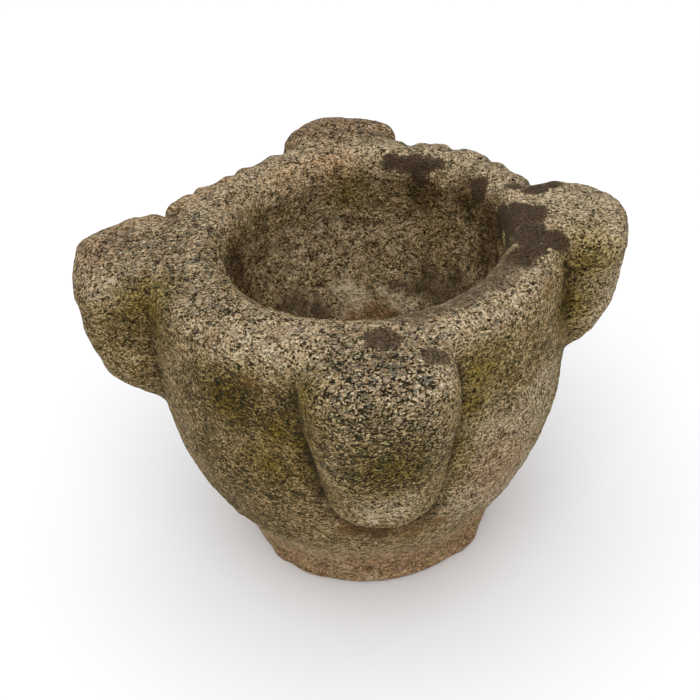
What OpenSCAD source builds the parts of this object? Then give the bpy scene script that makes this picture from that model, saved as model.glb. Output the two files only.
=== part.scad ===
// Stone mortar with four lugs, cut from one block.
// Origin at the centre of the foot's underside, +Z up, front lug towards -Y.

/* [Body] */
// Overall height, from the foot's underside to the top of the rim
height = 198; // [165:1:240]
// Outer radius of the wall at its widest
wall_r = 114; // [97:1:140]
// Height of the upper wall that stands upright, measured down from the rim
upright_h = 79; // [40:1:90]
// Radius that rounds the rim's outer edge
rim_round = 12; // [6:1:18]
// Height by which the top of the rim falls from its inner to its outer edge
rim_fall = 2; // [0.5:0.5:4]

/* [Foot] */
// Radius of the foot where it stands
foot_r = 74.5; // [60:0.5:90]
// Height of the foot
foot_h = 23; // [14:1:30]
// Radius gained by the foot over its height
foot_flare = 2.5; // [0:0.5:6]
// Radius that rounds the foot's lower edge
foot_round = 3; // [2:0.5:8]

/* [Bowl] */
// Width of the rim, from the lip of the bowl to the outside of the wall
rim_w = 39; // [32:1:50]
// How far the bowl lies off the block's centre, to the right and to the back
bowl_shift = [7, 0]; // [0:0.5:10]
// Depth of the bowl below the rim
bowl_depth = 92; // [76:1:125]
// Radius that rounds the lip of the bowl
lip_round = 14; // [4:0.5:16]
// Fullness of the bowl: 2 is an ellipse, more is squarer at the bottom
bowl_fullness = 2.2; // [2:0.1:4]

/* [Lugs: front, right, back, left] */
// Direction of each lug about the vertical axis, in degrees from +X
lug_angle = [269, -2, 87, 174]; // [-10:1:280]
// How far each lug stands out from the wall at its top
lug_out = [28, 35, 31, 39]; // [20:1:50]
// Width of each lug
lug_width = [77, 76, 70, 79]; // [62:1:96]
// How far the tip's top lies below the rim
lug_drop = [2, 1, 1, 1]; // [0:1:20]
// Distance below the rim at which the tip begins to turn inwards
lug_turn = [32, 49, 55, 60]; // [30:1:70]
// How far the tip has come in by that turn
lug_turn_in = [1, 9, 8, 9]; // [1:1:12]
// Distance below the rim of each lug's lowest edge
lug_low = [109, 115, 112, 116]; // [95:1:125]
// How far the lug has come in by its lowest edge
lug_low_in = [11, 38, 36, 37]; // [8:1:44]
// Width of each lug at its lowest edge
lug_low_width = [63, 60, 60, 60]; // [58:1:76]
// Radius that rounds a lug seen from above, at its top and at its lowest edge
lug_round = [24, 29]; // [16:1:29]
// Height over which a lug's upper and its lower edge are rounded
lug_edge = [12, 23]; // [8:1:28]

/* [Hidden] */

// Places in the lists of the lugs' sizes
FRONT = 0;
RIGHT = 1;
BACK = 2;
LEFT = 3;
// Places in the lists of a lug's roundings
TOP = 0;
LOW = 1;

// How far a lug's root reaches into the wall, at its top and at its lowest edge
root_in = [16, 36];
// Where the lip's rounding stops short of level, so that it cuts the rim's top cleanly
lip_end = 100;
// How far the bowl's cutter stands above the rim
over = 2;

// Steps in an arc, in a long curve, and around a full circle
arc_steps = 8;
curve_steps = 22;
$fn = 96;

lip_r = wall_r - rim_w;
foot_top_r = foot_r + foot_flare;
widest_z = height - upright_h;
bowl_floor_z = height - bowl_depth;
lip_z = height - lip_round;
shoulder_z = height - rim_fall - rim_round;

// Points of an arc about c, from angle a to angle b
function arc(c, r, a, b) =
    [for (i = [0:arc_steps]) let (t = a + (b - a) * i / arc_steps) c + r * [cos(t), sin(t)]];

// Lower wall: a parabola from the foot's top out to the widest height
function wall_at(z) =
    wall_r - (wall_r - foot_top_r) * pow((widest_z - z) / (widest_z - foot_h), 2);
function lower_wall() =
    [for (i = [0:curve_steps - 1]) let (z = foot_h + (widest_z - foot_h) * i / curve_steps)
        [wall_at(z), z]];

// Inside of the bowl, from its floor on the axis up to just below the lip
function bowl_curve() =
    [for (i = [0:curve_steps - 1]) let (t = 90 * i / curve_steps)
        [lip_r * pow(sin(t), 2 / bowl_fullness),
         lip_z - (lip_z - bowl_floor_z) * pow(cos(t), 2 / bowl_fullness)]];

// The lip, rolled outwards, with its last straight run out over the rim
function lip() =
    let (edge = arc([lip_r + lip_round, lip_z], lip_round, 180, lip_end), last = edge[arc_steps],
        rise = height + over - last[1])
    concat(edge, [[last[0] + rise * tan(180 - lip_end), height + over]]);

// The rounded outer edge of the rim
function shoulder() =
    arc([wall_r - rim_round, shoulder_z], rim_round, 0, 90);

module granite() { color([0.52, 0.47, 0.37]) children(); }

// The block's outside, without its foot and with no bowl cut in it
module block() {
    rotate_extrude()
        polygon(concat([[0, foot_h]], lower_wall(), [[wall_r, widest_z]], shoulder(),
            [[lip_r + lip_round, height], [0, height]]));
}

// The hollow that is cut into the block
module hollow() {
    translate([bowl_shift[0], bowl_shift[1], 0]) rotate_extrude()
        polygon(concat(bowl_curve(), lip(), [[0, height + over]]));
}

// Wall, rim and floor of the bowl
module bowl() {
    granite() difference() {
        block();
        hollow();
    }
}

// Round foot, slightly wider at its top
module foot() {
    granite() rotate_extrude()
        polygon(concat([[0, 0]],
            arc([foot_r - foot_round, foot_round], foot_round, -90, 0),
            [[foot_top_r, foot_h], [0, foot_h]]));
}

// Two flattened balls side by side, whose outer faces lie at reach and at half the width
module nubs(reach, width, z, place) {
    for (side = [-1, 1])
        translate([reach - lug_round[place], side * (width / 2 - lug_round[place]), z])
            scale([1, 1, lug_edge[place] / lug_round[place]])
                sphere(lug_round[place], $fn = 32);
}

// One lug: a tongue that hangs from the rim and turns in to the wall below
module lug(i) {
    tip = wall_r + lug_out[i];
    top_z = height - lug_edge[TOP];
    low_z = height - lug_low[i] + lug_edge[LOW];
    granite() difference() {
        rotate([0, 0, lug_angle[i]]) hull() {
            nubs(tip, lug_width[i], top_z - lug_drop[i], TOP);
            nubs(wall_r - root_in[TOP], lug_width[i], top_z, TOP);
            nubs(tip - lug_turn_in[i], lug_width[i], height - lug_turn[i], TOP);
            nubs(tip - lug_low_in[i], lug_low_width[i], low_z, LOW);
            nubs(wall_r - root_in[LOW], lug_low_width[i], low_z, LOW);
        }
        block();
    }
}

bowl();
foot();
lug(FRONT);  // lug_front
lug(RIGHT);  // lug_right
lug(BACK);  // lug_back
lug(LEFT);  // lug_left
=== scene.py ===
import itertools
import math

import bpy
import numpy as np
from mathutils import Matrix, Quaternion, Vector
from mathutils.bvhtree import BVHTree


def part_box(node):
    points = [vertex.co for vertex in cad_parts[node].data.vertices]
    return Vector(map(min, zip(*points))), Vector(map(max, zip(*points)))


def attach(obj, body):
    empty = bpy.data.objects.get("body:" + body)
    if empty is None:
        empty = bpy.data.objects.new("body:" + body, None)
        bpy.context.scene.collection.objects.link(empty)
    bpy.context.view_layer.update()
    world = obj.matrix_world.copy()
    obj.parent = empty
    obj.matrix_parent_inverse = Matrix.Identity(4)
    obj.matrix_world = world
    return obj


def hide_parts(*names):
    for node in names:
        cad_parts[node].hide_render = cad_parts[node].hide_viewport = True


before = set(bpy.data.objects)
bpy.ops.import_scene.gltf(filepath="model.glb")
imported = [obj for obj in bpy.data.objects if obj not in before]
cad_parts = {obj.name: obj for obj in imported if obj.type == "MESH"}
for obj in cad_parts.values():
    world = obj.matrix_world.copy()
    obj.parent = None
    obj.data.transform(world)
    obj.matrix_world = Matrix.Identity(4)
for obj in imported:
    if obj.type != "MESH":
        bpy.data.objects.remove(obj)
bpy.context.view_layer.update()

# ---------------------------------------------------------------- mortar stone
# One block of medium-grained granite, pecked to shape with a point and left outdoors for long.
# The wall, the rim, the four lugs and the foot run into each other without a joint, so the six
# CAD nodes are welded into one skin here, their creases are filled and the surface is worked.

MM = 0.001
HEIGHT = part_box("bowl")[1].z
SKIN_STEP = 1.85 * MM                # spacing of the sculpted skin
TOUCH = 0.3 * MM                     # a lug or the foot this near to the wall belongs to the weld
WELD = 5 * MM                        # how far it is pushed into the wall there
LEAN = Vector((2.7, -0.8, 0)) * MM   # how far the rim stands off the foot's centre
BOWL_REACH = 84 * MM                 # the bowl lies within this distance of the axis
EVEN = 0.6                           # share of the way to its neighbours' mean, for each relaxing
CREASE_TIMES = 12                    # how often the creases are relaxed, which fills them,
EDGE_TIMES = 4                       # the whole skin, which softens its edges,
WAIST_TIMES = 140                    # and the waist, where the wall runs into the foot

# Nicks in the rim's outer edge: direction in degrees, half width and depth in mm
RIM_NICKS = [(154, 9, 3), (141, 7, 2.5), (124, 8, 3), (106, 7, 2.5), (62, 6, 2), (47, 9, 2.5),
             (33, 8, 1.5), (15, 9, 3), (217, 14, 1.5), (312, 12, 1.5), (331, 9, 1.5)]
NICK_SHARE = 0.8                     # of a nick's depth, taken off both the side and the top

# Places where the hand-cut block stands out (+) or lies low (-): x, y, z, radius and amount in mm
SWELLS = [
    # Rim at the back left
    (-88, 60, 192, 20, 1.5), (-110, 44, 194, 15, 2), (-102, 46, 194, 9, 2), (-97, 50, 192, 12, 1.5),
    (-71, 81, 193, 13, -2.5), (-59, 89, 194, 10, 1), (-56, 100, 190, 28, -2.5),
    (-44, 96, 195, 14, -2), (-30, 112, 190, 22, -2.5),
    # Left lug
    (-134, 43, 194, 16, -2), (-146, 30, 190, 16, 0.5), (-150, 0, 187, 16, -0.7),
    (-150, -12, 182, 22, -2.5), (-118, -12, 110, 14, -2), (-140, -14, 137, 18, -1),
    # Right lug, the rim behind it and the wall below it
    (148, -6, 197, 18, 2), (152, -32, 174, 24, -1.5), (150, -25, 186, 14, -1), (104, 26, 198, 14, 1),
    (118, 24, 198, 12, 1), (138, 18, 197, 20, -3.5), (102, 46, 193, 14, -1.5),
    (83, -62, 67, 20, -1), (54, 94, 196, 24, -2.5), (125, -30, 131, 18, 1.5),
    (120, -44, 138, 28, 1.5),
    # Back lug and the rim beside it
    (-26, 138, 190, 18, -3), (-12, 136, 193, 14, -1.5), (25, 135, 193, 16, -2),
    (44, 117, 188, 14, 1.2), (38, 132, 192, 10, -1.5), (-34, 118, 190, 14, 1),
    # Left wall, and the foot's edge
    (-100, -50, 100, 34, -2.5), (-108, -26, 100, 22, -1.5), (-84, -68, 72, 28, -0.7),
    (-68, -50, 34, 20, -2), (-46, -58, 1, 16, 1), (-61, -43, 2, 11, 1.5), (67, -35, 10, 22, -1),
    (50, -54, 1, 16, 2)]

# Unevenness all over: size of the bumps and their height in mm, and the seed of their pattern
BLOCK_BUMPS = [(55, 0.9, 1), (24, 0.5, 2)]
PECKED_BUMPS = [(11, 0.3, 3), (5.85, 0.4, 4), (3, 0.3, 5)]


def welded_block():
    """The CAD nodes as one mesh, with the lugs and the foot pushed a little into the wall."""
    wall = BVHTree.FromObject(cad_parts["bowl"], bpy.context.evaluated_depsgraph_get())
    corners, faces = [], []
    for name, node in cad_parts.items():
        first = len(corners)
        for vertex in node.data.vertices:
            place = vertex.co.copy()
            near = wall.find_nearest(place)[0]
            if name != "bowl" and (place - near).length < TOUCH:
                if name == "foot":
                    place.z += WELD
                else:
                    place += Vector((-place.x, -place.y, 0)).normalized() * WELD
            corners.append(place)
        faces += [[first + i for i in face.vertices] for face in node.data.polygons]
    mesh = bpy.data.meshes.new("mortar_block")
    mesh.from_pydata(corners, [], faces)
    return mesh


def even_skin(mesh, step):
    """The same shape as one closed skin of small, even faces."""
    block = bpy.data.objects.new("mortar_block", mesh)
    bpy.context.scene.collection.objects.link(block)
    remesh = block.modifiers.new("skin", "REMESH")
    remesh.mode = "VOXEL"
    remesh.voxel_size = step
    skin = bpy.data.meshes.new_from_object(
        block.evaluated_get(bpy.context.evaluated_depsgraph_get()))
    bpy.data.objects.remove(block)
    return skin


def neighbour_mean(values):
    """Mean of each vertex's neighbours, for one or several values per vertex."""
    values = values.reshape(len(values), -1)
    total = np.stack([np.bincount(edge_a, column[edge_b], count)
                      + np.bincount(edge_b, column[edge_a], count) for column in values.T], 1)
    return (total / valence[:, None]).squeeze()


def relaxed(points, weight, times):
    """The points, each drawn towards its neighbours as far as its weight says."""
    for _ in range(times):
        points = points + weight[:, None] * EVEN * (neighbour_mean(points) - points)
    return points


def bumps(points, size, seed):
    """Smooth gradient noise, about -1 to 1, whose bumps are about this size."""
    random = np.random.default_rng(seed)
    kinds = 4096
    gradients = random.normal(size=(kinds, 3))
    gradients /= np.linalg.norm(gradients, axis=1)[:, None]
    shuffled = random.permutation(kinds)
    grid = points / size + 1000
    cell = np.floor(grid).astype(np.int64)
    offset = grid - cell
    ease = offset ** 3 * (offset * (offset * 6 - 15) + 10)
    total = np.zeros(len(points))
    for corner in itertools.product((0, 1), repeat=3):
        x, y, z = (cell + corner).T
        picked = gradients[shuffled[(shuffled[(shuffled[x % kinds] + y) % kinds] + z) % kinds]]
        share = np.prod(np.where(np.array(corner) == 1, ease, 1 - ease), axis=1)
        total += share * ((offset - corner) * picked).sum(1)
    return total * 1.6


def layered_bumps(points, layers):
    """How far several layers of bumps, (size, height, seed) with both in mm, lift the points."""
    return sum(height * bumps(points, size * MM, seed) for size, height, seed in layers) * MM


def smoothstep(low, high, value):
    """0 up to low, 1 from high on, and an even curve between them."""
    t = np.clip((value - low) / (high - low), 0, 1)
    return t * t * (3 - 2 * t)


def normals_of(mesh, points):
    """The mesh's normals once its vertices lie at these points."""
    mesh.vertices.foreach_set("co", points.astype(np.float32).ravel())
    mesh.update()
    found = np.empty(len(mesh.vertices) * 3, np.float32)
    mesh.vertex_normals.foreach_get("vector", found)
    return found.reshape(-1, 3).astype(float)


skin = even_skin(welded_block(), SKIN_STEP)
count = len(skin.vertices)
points = np.empty(count * 3, np.float32)
skin.vertices.foreach_get("co", points)
points = points.reshape(-1, 3).astype(float)
ends = np.empty(len(skin.edges) * 2, np.int32)
skin.edges.foreach_get("vertices", ends)
edge_a, edge_b = ends.reshape(-1, 2).T
valence = np.bincount(edge_a, minlength=count) + np.bincount(edge_b, minlength=count)

# Creases where a lug or the foot meets the wall are filled; outer edges are only softened. A
# crease is where a vertex lies at least this far below its neighbours, and a little around that.
DEEP = 0.10 * MM
normals = normals_of(skin, points)
hollow = ((neighbour_mean(points) - points) * normals).sum(1)
crease = (hollow > DEEP).astype(float)
for _ in range(6):
    crease = np.maximum(crease, neighbour_mean(crease))
crease = smoothstep(0.02, 0.25, crease)
points = relaxed(points, crease, CREASE_TIMES)
points = relaxed(points, np.full(count, 0.8), EDGE_TIMES)
waist = smoothstep(5 * MM, 14 * MM, points[:, 2]) * smoothstep(60 * MM, 36 * MM, points[:, 2])
points = relaxed(points, waist, WAIST_TIMES)

# The body leans a little to the right, as a block cut by eye does.
points += np.outer(points[:, 2] / HEIGHT, LEAN)

# Nicks along the rim's outer edge, then the places that stand out or lie low
angle = np.degrees(np.arctan2(points[:, 1], points[:, 0])) % 360
reach = np.hypot(points[:, 0], points[:, 1])
outward = np.stack([points[:, 0], points[:, 1], 0 * reach], 1) / np.maximum(reach, MM)[:, None]
rim_edge = (smoothstep(94 * MM, 106 * MM, reach)
            * smoothstep(HEIGHT - 20 * MM, HEIGHT - 7 * MM, points[:, 2]))
nicked = np.zeros(count)
for direction, half_width, depth in RIM_NICKS:
    turned = np.abs((angle - direction + 180) % 360 - 180)
    away = turned * reach / (half_width * MM) * math.radians(1)
    nicked = np.maximum(nicked, depth * MM * smoothstep(1.0, 0.0, away))
nicked *= rim_edge
points -= outward * nicked[:, None] * NICK_SHARE
points[:, 2] -= nicked * NICK_SHARE
normals = normals_of(skin, points)
for x, y, z, radius, amount in SWELLS:
    away = np.linalg.norm(points / MM - (x, y, z), axis=1) / radius
    points += normals * (amount * MM * smoothstep(1.0, 0.2, away))[:, None]

# Unevenness of the whole block, then of the pecked surface, which is rougher in the bowl. The
# standing face stays flat.
normals = normals_of(skin, points)
free = smoothstep(0.5 * MM, 6 * MM, points[:, 2])
inside = smoothstep(0.05, 0.55, -(normals * outward).sum(1)) * (reach < BOWL_REACH)
move = (layered_bumps(points, BLOCK_BUMPS) * (1 - 0.3 * inside)
        + layered_bumps(points, PECKED_BUMPS) * (1 + 1.4 * inside)) * free
points += normals * move[:, None]
points[:, 2] = np.maximum(points[:, 2], 0)
normals = normals_of(skin, points)
skin.polygons.foreach_set("use_smooth", np.ones(len(skin.polygons), bool))


# What lies where on the stone is worked out for each vertex and kept for the material.
def spots(places, soft, wobble=0.35):
    """1 inside these round spots (x, y, z, radius in mm), 0 outside, with an uneven edge."""
    uneven = bumps(points, 9 * MM, 21) * 0.6 + bumps(points, 3.5 * MM, 22) * 0.4
    most = np.zeros(count)
    for x, y, z, radius in places:
        away = np.linalg.norm(points / MM - (x, y, z), axis=1) + uneven * wobble * radius
        most = np.maximum(most, np.clip(0.5 + (radius - away) / soft, 0, 1))
    return most


def keep(name, values):
    """Stores one value per vertex under this name."""
    layer = skin.attributes.new(name, "FLOAT", "POINT")
    layer.data.foreach_set("value", values.astype(np.float32))


# Dark crusts: two spots in front of the bowl, then the back of the lip, the right lug's root and
# the rim in front of it
crust = np.maximum(
    0.85 * spots([(5, -99, 197, 8), (10, -101, 197, 6), (27, -115, 195, 7), (31, -114, 194, 6)],
                 3, 0.3),
    spots([(36, 73, 193, 6), (42, 70, 192, 6), (48, 67, 193, 7), (55, 63, 194, 6), (61, 60, 195, 4),
           (50, 62, 187, 6), (79, 34, 193, 6), (79, 31, 189, 6),
           (97, 22, 197, 5), (107, 15, 197, 7), (118, 19, 197, 6),
           (97, -10, 198, 11), (90, -4, 195, 10), (94, -28, 198, 11), (103, -33, 196, 8),
           (109, -35, 193, 5), (93, -42, 197, 7), (86, 4, 188, 8), (84, -14, 193, 9),
           (80, -30, 190, 8)], 3, 0.45))
keep("crust", crust)
keep("crust_cover", 0.78 + 0.17 * smoothstep(0.8, 0.95, crust))
# A thinner stain around them, a dark deposit on the bowl's right side, and painted shade on its steep
# sides, beside the front lug and as the lug's shadow under it
keep("stain_and_painted_shade", spots([
    (82, 14, 160, 15), (84, 14, 180, 14), (75, 38, 184, 12), (50, 60, 178, 12), (84, -46, 196, 9),
    (-62, 20, 172, 12), (-60, 14, 156, 14), (-66, 0, 176, 10),
    (-38, -121, 172, 4), (-38, -112, 154, 5), (-36, -109, 136, 6), (-31, -110, 115, 7),
    (-25, -110, 98, 9), (-8, -112, 84, 16), (14, -112, 88, 14)], 10))
# Algae in the creases and on the sheltered wall; in the creases its darkening is also painted shade
keep("algae_and_crease_shade", spots([
    (-107, -32, 185, 17), (120, -42, 186, 15), (-37, -121, 184, 13), (-38, -118, 168, 15),
    (-38, -108, 148, 15), (-36, -110, 130, 13), (-56, -98, 128, 14), (-50, -103, 152, 14),
    (-72, -86, 163, 18), (51, -104, 170, 17), (45, -106, 155, 16), (38, -112, 135, 12),
    (0, -139, 148, 20), (110, -48, 160, 15), (8, 74, 176, 8)], 22))
# Rust where iron minerals have weathered, and a brown band under the front lug, partly rust and partly
# the painted shadow of its overhang
keep("rust_and_painted_shadow", spots([
    (-60, -96, 179, 3), (-75, -75, 195, 3), (-42, -84, 198, 2), (94, -66, 190, 4),
    (14, 38, 115, 7), (21, 33, 114, 5), (2, 36, 114, 5),
    (-20, -106, 80, 8), (-5, -106, 76, 8), (11, -103, 70, 8), (28, -103, 74, 6)], 8))
# Pinkish stone, left clean at the tips of the lugs, along the rim's back and at the foot
keep("pink", spots([
    (-138, 17, 195, 16), (-122, 44, 195, 14), (-100, 48, 196, 14), (-80, 62, 196, 10),
    (-60, 78, 196, 10), (10, 126, 190, 26), (-14, 122, 190, 16), (34, 118, 190, 16),
    (62, -96, 100, 22), (0, -78, 10, 30), (-50, -58, 10, 24), (50, -60, 12, 24), (0, 80, 196, 14),
    (-26, 72, 196, 8)], 18))
# Rubbed smooth: a band along the lip, and the bowl's floor
keep("worn", np.maximum(
    spots([(16, -86, 198, 5), (26, -86, 198, 6), (36, -83, 198, 6), (46, -79, 198, 7),
           (56, -73, 198, 7), (65, -66, 197, 8), (74, -57, 197, 8), (81, -50, 197, 9)], 6),
    spots([(47, 39, 127, 10), (55, 26, 124, 12), (62, 28, 135, 8), (34, 42, 121, 8),
           (66, 10, 130, 12), (-29, 37, 124, 9), (-18, 36, 118, 9), (-37, 30, 128, 8),
           (30, 10, 112, 26), (0, 0, 108, 30), (40, -20, 118, 30), (-20, -10, 112, 24)], 8)))
# Pale mineral near the bowl's floor
pale = spots([(-1, 49, 123, 8), (8, 44, 119, 8), (28, 39, 118, 6), (36, 32, 117, 6),
              (20, 44, 122, 4), (-10, -130, 110, 3), (-9, -74, 6, 3)], 5, 0.6)
keep("pale", pale)
# Pale stone, washed clean, and painted light: the right of the body and the right lug, the back of the
# rim, and the bowl's back wall lifted out of its shade
clean_and_painted_light = spots([
    (52, -104, 140, 16), (50, -104, 168, 12), (68, -92, 112, 26), (88, -74, 122, 22),
    (56, -92, 84, 24), (72, -78, 76, 24), (134, -37, 190, 16), (125, 0, 197, 22),
    (-40, -92, 197, 16), (-64, -78, 197, 14), (45, -92, 197, 14), (70, -76, 194, 12),
    (0, 76, 194, 24), (-20, 73, 194, 22), (-38, 64, 194, 18), (20, 76, 195, 20),
    (0, -134, 122, 14), (134, -38, 166, 18), (130, -40, 150, 14), (48, -98, 84, 22),
    (0, 70, 150, 26), (-30, 62, 150, 20), (30, 66, 150, 18)], 16)
# Duller stone: the left of the rim and of the wall, the back lug and the front lug's top; on the left
# wall it is partly painted shade
dull_and_painted_shade = np.maximum(
    0.9 * spots([(-86, 8, 198, 28), (-62, -60, 198, 18), (0, -106, 198, 24), (-118, 8, 197, 22),
                 (-84, -40, 198, 22)], 14),
    spots([(10, 124, 194, 30), (-20, 116, 192, 18), (36, 112, 192, 16), (-66, -92, 162, 22),
           (-86, -72, 155, 20), (-46, -108, 168, 12), (-78, -76, 105, 24), (-56, -96, 102, 18),
           (-70, -74, 70, 26)], 18))
# Open grain with deep pits: the front lug's face, most of all below its upper edge
open_grain = np.maximum(
    0.7 * spots([(0, -134, 190, 26), (0, -140, 160, 32), (0, -140, 144, 16)], 14),
    spots([(-12, -141, 184, 9), (4, -142, 182, 9), (18, -142, 180, 8)], 8))
# Warmer, rubbed stone towards the foot
low = smoothstep(0.36, 0.12, points[:, 2] / HEIGHT)
keep("low", low)
# The bowl, stained by what was ground in it
keep("inside", inside)
# Dirt and painted shade in the pits, hollows and creases, by how far in mm a point lies below the
# surface around it
depth = ((relaxed(points, np.ones(count), 14) - points) * normals).sum(1) / MM
keep("pit_dirt_and_shade", smoothstep(-0.1, 0.7, depth) * (0.75 - 0.25 * inside))
# How much film can settle, how far the grains stand out, and how much lighter the stone is, painted
# light and shade included
keep("film_room", 1 - np.maximum(np.maximum(0.8 * clean_and_painted_light, 0.5 * open_grain), 0.4 * inside))
keep("contrast", 1 + 0.6 * np.maximum(open_grain, 0.3 * clean_and_painted_light) - 0.1 * inside)
keep("shade", 0.032 * clean_and_painted_light - 0.145 * open_grain - 0.068 * dull_and_painted_shade + 0.06 * pale + 0.05 * low)


def linear(colour):
    """A hex sRGB colour as linear RGBA."""
    parts = [int(colour[i:i + 2], 16) / 255 for i in (1, 3, 5)]
    return [c / 12.92 if c <= 0.04045 else ((c + 0.055) / 1.055) ** 2.4 for c in parts] + [1]


# Granite, pecked and weathered: the eye sees tan and pale feldspar with dark biotite, rough and
# without a gleam, under the films, algae and crusts of many years outdoors.
# Part of its colour is painted light and shade: darker sides, hollows and creases, the bowl's steep
# walls, the shadow under the front lug, and lighter stone on the right and in the bowl
weathered_granite = bpy.data.materials.new("weathered_granite")
weathered_granite.use_nodes = True
tree = weathered_granite.node_tree
tree.nodes.clear()

GRAIN = 1.35 * MM      # mineral grains
RELIEF = 1.0 * MM      # depth of the finest relief, which isn't in the mesh
FLECK = 3.4 * MM       # spacing of the places where a large crystal, a dark dot or a fleck can lie
TONES = [(0.30, "#1C170C"), (0.41, "#493E26"), (0.50, "#7E6E50"), (0.60, "#A18E6E"),
         (0.74, "#CFBE9E")]          # from biotite to pale feldspar


def add(kind, settings=None, **links):
    """Adds one node and gives its outputs; a link is a value or another node's output."""
    node = tree.nodes.new("ShaderNode" + kind)
    for name, value in (settings or {}).items():
        setattr(node, name, value)
    for name, value in links.items():
        socket = node.inputs[int(name[1:]) if name[1:].isdigit() else name.replace("_", " ")]
        if isinstance(value, bpy.types.NodeSocket):
            tree.links.new(value, socket)
        else:
            socket.default_value = value
    return node.outputs


TIMES = {"operation": "MULTIPLY"}
TIMES_PLUS = {"operation": "MULTIPLY_ADD"}
BLEND = {"data_type": "RGBA"}

place = add("TexCoord")["Object"]
# Grains lie slightly flattened along the block's bed, and coarser streaks follow it
bed = add("Mapping", Vector=place, Rotation=(0.12, -0.22, 0), Scale=(0.85, 0.85, 1.2))[0]
lie = add("Mapping", Vector=place, Rotation=(0.1, 0.12, 0), Scale=(0.6, 0.6, 2.0))[0]
# Uneven patterns: name, where, size in mm, detail, roughness and twist
noise = {name: add("TexNoise", Vector=where, Scale=1 / (size * MM), Detail=detail,
                   Roughness=rough, Distortion=twist)[0]
         for name, where, size, detail, rough, twist in (
             ("patches", place, 30, 4, 0.6, 0),     # of film and algae
             ("blotches", place, 11, 4, 0.6, 0),    # of lighter and darker stone
             ("grit", bed, 1.0, 2, 0.6, 0.3),       # small crystals, no finer than still shows
             ("pecks", bed, 2.6, 2, 0.5, 0),        # marks of the point
             ("streaks", lie, 4.5, 3, 0.6, 0),      # along the bed
             ("ragged", place, 2.5, 4, 0.5, 0))}    # the crusts' edge
wander = add("TexNoise", Vector=bed, Scale=1 / (1.5 * GRAIN), Detail=2)["Color"]
bent = add("VectorMath", TIMES_PLUS, i0=wander, i1=(GRAIN * 1.2,) * 3, i2=bed)[0]
grain_kind = add("SeparateColor", i0=add("TexVoronoi", Vector=bent, Scale=1 / GRAIN)["Color"])
flecks = add("TexVoronoi", Vector=bed, Scale=1 / FLECK)
fleck_kind = add("SeparateColor", i0=flecks["Color"])
kept = {name: add("Attribute", {"attribute_name": name})["Fac"] for name in (
    "crust", "crust_cover", "stain_and_painted_shade", "algae_and_crease_shade", "rust_and_painted_shadow", "pink", "worn", "pale", "low", "inside",
    "pit_dirt_and_shade", "film_room", "contrast", "shade")}

# Tone of the bare stone, 0 to 1. Each pattern swings about 0.5, so half its share is taken off.
fine = ((noise["grit"], 1.4), (grain_kind[0], 0.24))
coarse = ((noise["blotches"], 0.27), (noise["pecks"], 0.24), (noise["streaks"], 0.3))
tone = -sum(share for _, share in fine) / 2
for pattern, share in fine:
    tone = add("Math", TIMES_PLUS, i0=pattern, i1=share, i2=tone)[0]
tone = add("Math", TIMES_PLUS, i0=tone, i1=kept["contrast"], i2=kept["shade"])[0]
for pattern, share in coarse:
    tone = add("Math", TIMES_PLUS, i0=pattern, i1=share, i2=tone)[0]
tone = add("Math", {"operation": "ADD"}, i0=tone, i1=0.5 - sum(share for _, share in coarse) / 2)[0]

stone = add("ValToRGB", i0=tone)[0]
ramp = stone.node.color_ramp.elements
while len(ramp) < len(TONES):
    ramp.new(0.5)
for element, (position, colour) in zip(ramp, TONES):
    element.position = position
    element.color = linear(colour)

# The sky washes what faces it, and film darkens the sides that face away, partly as painted shade
# against the lit tops; the ragged edge of the crusts breaks up their spots
upward = add("SeparateXYZ", i0=add("NewGeometry")["Normal"])[2]
facing_up = add("Math", TIMES_PLUS, i0=noise["patches"], i1=1.2, i2=upward)[0]
crumbling = add("Math", TIMES_PLUS, i0=noise["ragged"], i1=0.7, i2=kept["crust"])[0]
# Smooth fades: what is read, from and to which of its values, and what it gives at both
fade = {name: add("MapRange", {"interpolation_type": "SMOOTHSTEP"}, Value=value, i1=start, i2=end,
                  i3=at_start, i4=at_end)[0]
        for name, value, start, end, at_start, at_end in (
            ("grey grain", grain_kind[1], 0.80, 0.86, 0, 0.45),
            ("pink grain", grain_kind[1], 0.22, 0.18, 0, 0.4),
            ("crystal", flecks["Distance"], 0.5, 0.3, 0, 1),
            ("crystal here", fleck_kind[1], 0.86, 0.88, 0, 0.5),
            ("dark dot", flecks["Distance"], 0.28, 0.20, 0, 1),
            ("dark dot here", fleck_kind[0], 0.88, 0.90, 0, 0.8),
            ("white fleck", flecks["Distance"], 0.24, 0.14, 0, 1),
            ("white fleck here", fleck_kind[2], 0.965, 0.975, 0, 0.8),
            ("sheltered_and_shaded", facing_up, 1.65, 0.5, 0, 1),
            ("film on grain", tone, 0.5, 0.65, 1, 0.55),
            ("dark film", tone, 0.47, 0.34, 0, 0.6),
            ("film colour", noise["patches"], 0.35, 0.65, 0, 1),
            ("algae patches", noise["patches"], 0.3, 0.6, 0.65, 0.95),
            ("pale grain", tone, 0.48, 0.6, 0.15, 0.9),
            ("crusted", crumbling, 0.77, 0.93, 0, 1),
            ("crust colour", noise["grit"], 0.35, 0.65, 0, 1),
            ("roughness", noise["grit"], 0.3, 0.7, 0.75, 0.92))}
# Film on the sides facing away from the sky: olive film and painted shade
film_and_shade = add("Math", TIMES, i0=fade["sheltered_and_shaded"], i1=kept["film_room"])[0]
film_and_shade = add("Math", TIMES, i0=film_and_shade, i1=fade["film on grain"])[0]

# The film is olive to buff, and warmer near the foot; the crust is two dark browns
film_colour = add("Mix", BLEND, i0=fade["film colour"], i6=linear("#CDC08A"), i7=linear("#E4D9B0"))[2]
film_colour = add("Mix", BLEND, i0=kept["low"], i6=film_colour, i7=linear("#EFE2CA"))[2]
crust_colour = add("Mix", BLEND, i0=fade["crust colour"], i6=linear("#2B2117"), i7=linear("#463625"))[2]

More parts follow.
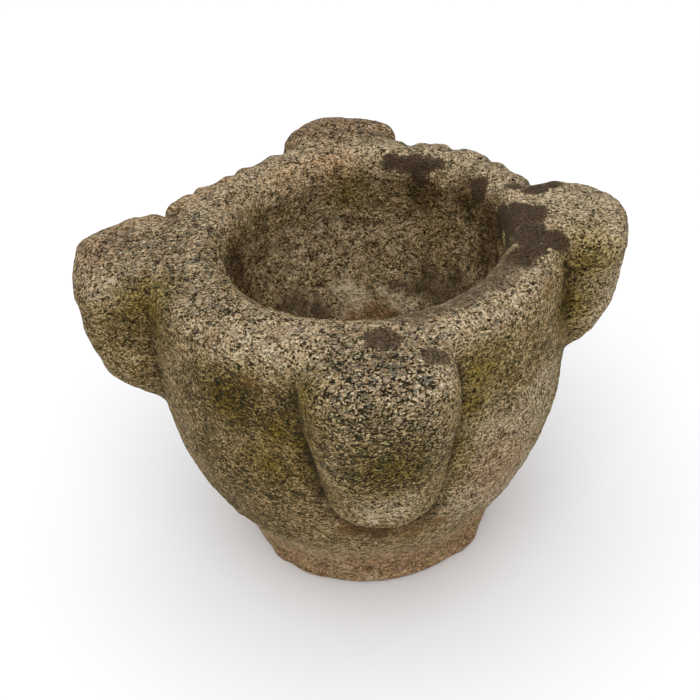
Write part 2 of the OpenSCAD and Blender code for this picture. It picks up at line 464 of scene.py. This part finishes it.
# From the bare stone outwards: where, how much of it, its colour, and whether it covers or tints
for where, share, colour, how in (
        (fade["grey grain"], 1, linear("#8A8372"), "MIX"),
        (fade["pink grain"], 1, linear("#AE9070"), "MIX"),
        (fade["crystal"], fade["crystal here"], linear("#BDA78E"), "MIX"),
        (fade["dark dot"], fade["dark dot here"], linear("#1E1B14"), "MIX"),
        (fade["white fleck"], fade["white fleck here"], linear("#E6E0D4"), "MIX"),
        # Film tints the sides olive and darkens them as painted shade
        (film_and_shade, 1, film_colour, "MULTIPLY"),
        (film_and_shade, fade["dark film"], linear("#35301A"), "MIX"),
        # Olive algae, which in the creases is also painted shade
        (kept["algae_and_crease_shade"], fade["algae patches"], linear("#B9B35A"), "MULTIPLY"),
        (kept["pink"], 0.55, linear("#FFE6DC"), "MULTIPLY"),
        (kept["worn"], 0.78, linear("#453728"), "MIX"),
        (kept["pale"], fade["pale grain"], linear("#C2B498"), "MIX"),
        # Rust, and under the front lug painted shadow
        (kept["rust_and_painted_shadow"], 0.6, linear("#6E4A22"), "MIX"),
        # Stain, and painted shade on the bowl's steep sides, beside the front lug and under it
        (kept["stain_and_painted_shade"], 0.75, linear("#8C7A5E"), "MULTIPLY"),
        (kept["inside"], 1, linear("#FDF9F2"), "MULTIPLY"),
        # Painted shade and dirt in the hollows and creases
        (kept["pit_dirt_and_shade"], 1, linear("#6B5E3A"), "MULTIPLY"),
        (kept["low"], 0.1, linear("#9F7F60"), "MIX"),
        (fade["crusted"], kept["crust_cover"], crust_colour, "MIX")):
    part = add("Math", TIMES, i0=where, i1=share)[0]
    stone = add("Mix", {**BLEND, "blend_type": how}, i0=part, i6=stone, i7=colour)[2]

# Relief: pecks over grit, both smoother under the crust and where the stone is worn
relief = add("Math", TIMES_PLUS, i0=noise["pecks"], i1=1.6, i2=noise["grit"])[0]
smooth = add("Math", {"operation": "MAXIMUM"}, i0=fade["crusted"], i1=kept["worn"])[0]
strength = add("Math", TIMES_PLUS, i0=smooth, i1=-0.6, i2=0.9)[0]
relief = add("Bump", Height=relief, Distance=RELIEF, Strength=strength)[0]
shader = add("BsdfPrincipled", Base_Color=stone, Roughness=fade["roughness"], IOR=1.54,
             Specular_IOR_Level=0.1, Normal=relief)[0]
add("OutputMaterial", Surface=shader)

mortar_stone = bpy.data.objects.new("mortar_stone", skin)
bpy.context.scene.collection.objects.link(mortar_stone)
skin.name = "mortar_stone"
skin.materials.clear()
skin.materials.append(weathered_granite)
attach(mortar_stone, "root")
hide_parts("bowl", "foot", "lug_front", "lug_right", "lug_back", "lug_left")

# ---------------------------------------------------------------- floor
# A seamless sheet of white studio paper under the mortar, matt and very slightly blue.
HALF = 6               # half the side of the sheet, in metres
paper = bpy.data.meshes.new("studio_paper")
paper.from_pydata([(-HALF, -HALF, 0), (HALF, -HALF, 0), (HALF, HALF, 0), (-HALF, HALF, 0)], [],
                  [(0, 1, 2, 3)])
studio_paper = bpy.data.objects.new("studio_paper", paper)
bpy.context.scene.collection.objects.link(studio_paper)
white_paper = bpy.data.materials.new("white_paper")
white_paper.use_nodes = True
surface = white_paper.node_tree.nodes["Principled BSDF"].inputs
surface["Base Color"].default_value = linear("#F8F9FC")
surface["Roughness"].default_value = 0.9
paper.materials.append(white_paper)

# ---------------------------------------------------------------- light
# Soft light from two large round banks, overhead and in front, and an even white surround.
MIDDLE = Vector((0, 0, 0.15))
for name, place, size, watts in (("overhead_bank", (-0.05, 0.2, 1.5), 1.4, 3),
                                 ("front_bank", (-0.05, -0.8, 1.3), 1.1, 4.5)):
    lamp = bpy.data.lights.new(name, "AREA")
    lamp.shape = "DISK"
    lamp.size = size
    lamp.energy = watts
    bank = bpy.data.objects.new(name, lamp)
    bank.location = place
    bank.rotation_mode = "QUATERNION"
    bank.rotation_quaternion = (Vector(place) - MIDDLE).to_track_quat("Z", "Y")
    bpy.context.scene.collection.objects.link(bank)
surround = bpy.data.worlds.new("surround")
surround.use_nodes = True
sky = surround.node_tree.nodes["Background"].inputs
sky["Color"].default_value = linear("#FFFFFF")
sky["Strength"].default_value = 0.93
bpy.context.scene.world = surround
bpy.context.scene.view_settings.view_transform = "Standard"

# ---------------------------------------------------------------- camera
# Looking down on the front lug from above the rim, tilted a little.
AIM = Vector((-3.5, 11.1, 107.6)) * MM
DISTANCE = 736.2 * MM
turn, rise, tilt = (math.radians(a) for a in (-3.5, 37.66, -5.84))
towards = Vector((math.sin(turn) * math.cos(rise), -math.cos(turn) * math.cos(rise), math.sin(rise)))
eye = bpy.data.cameras.new("camera")
eye.sensor_width = 36
eye.lens = 64.74
camera = bpy.data.objects.new("camera", eye)
camera.location = AIM + towards * DISTANCE
camera.rotation_mode = "QUATERNION"
camera.rotation_quaternion = towards.to_track_quat("Z", "Y") @ Quaternion((0, 0, 1), tilt)
bpy.context.scene.collection.objects.link(camera)
bpy.context.scene.camera = camera
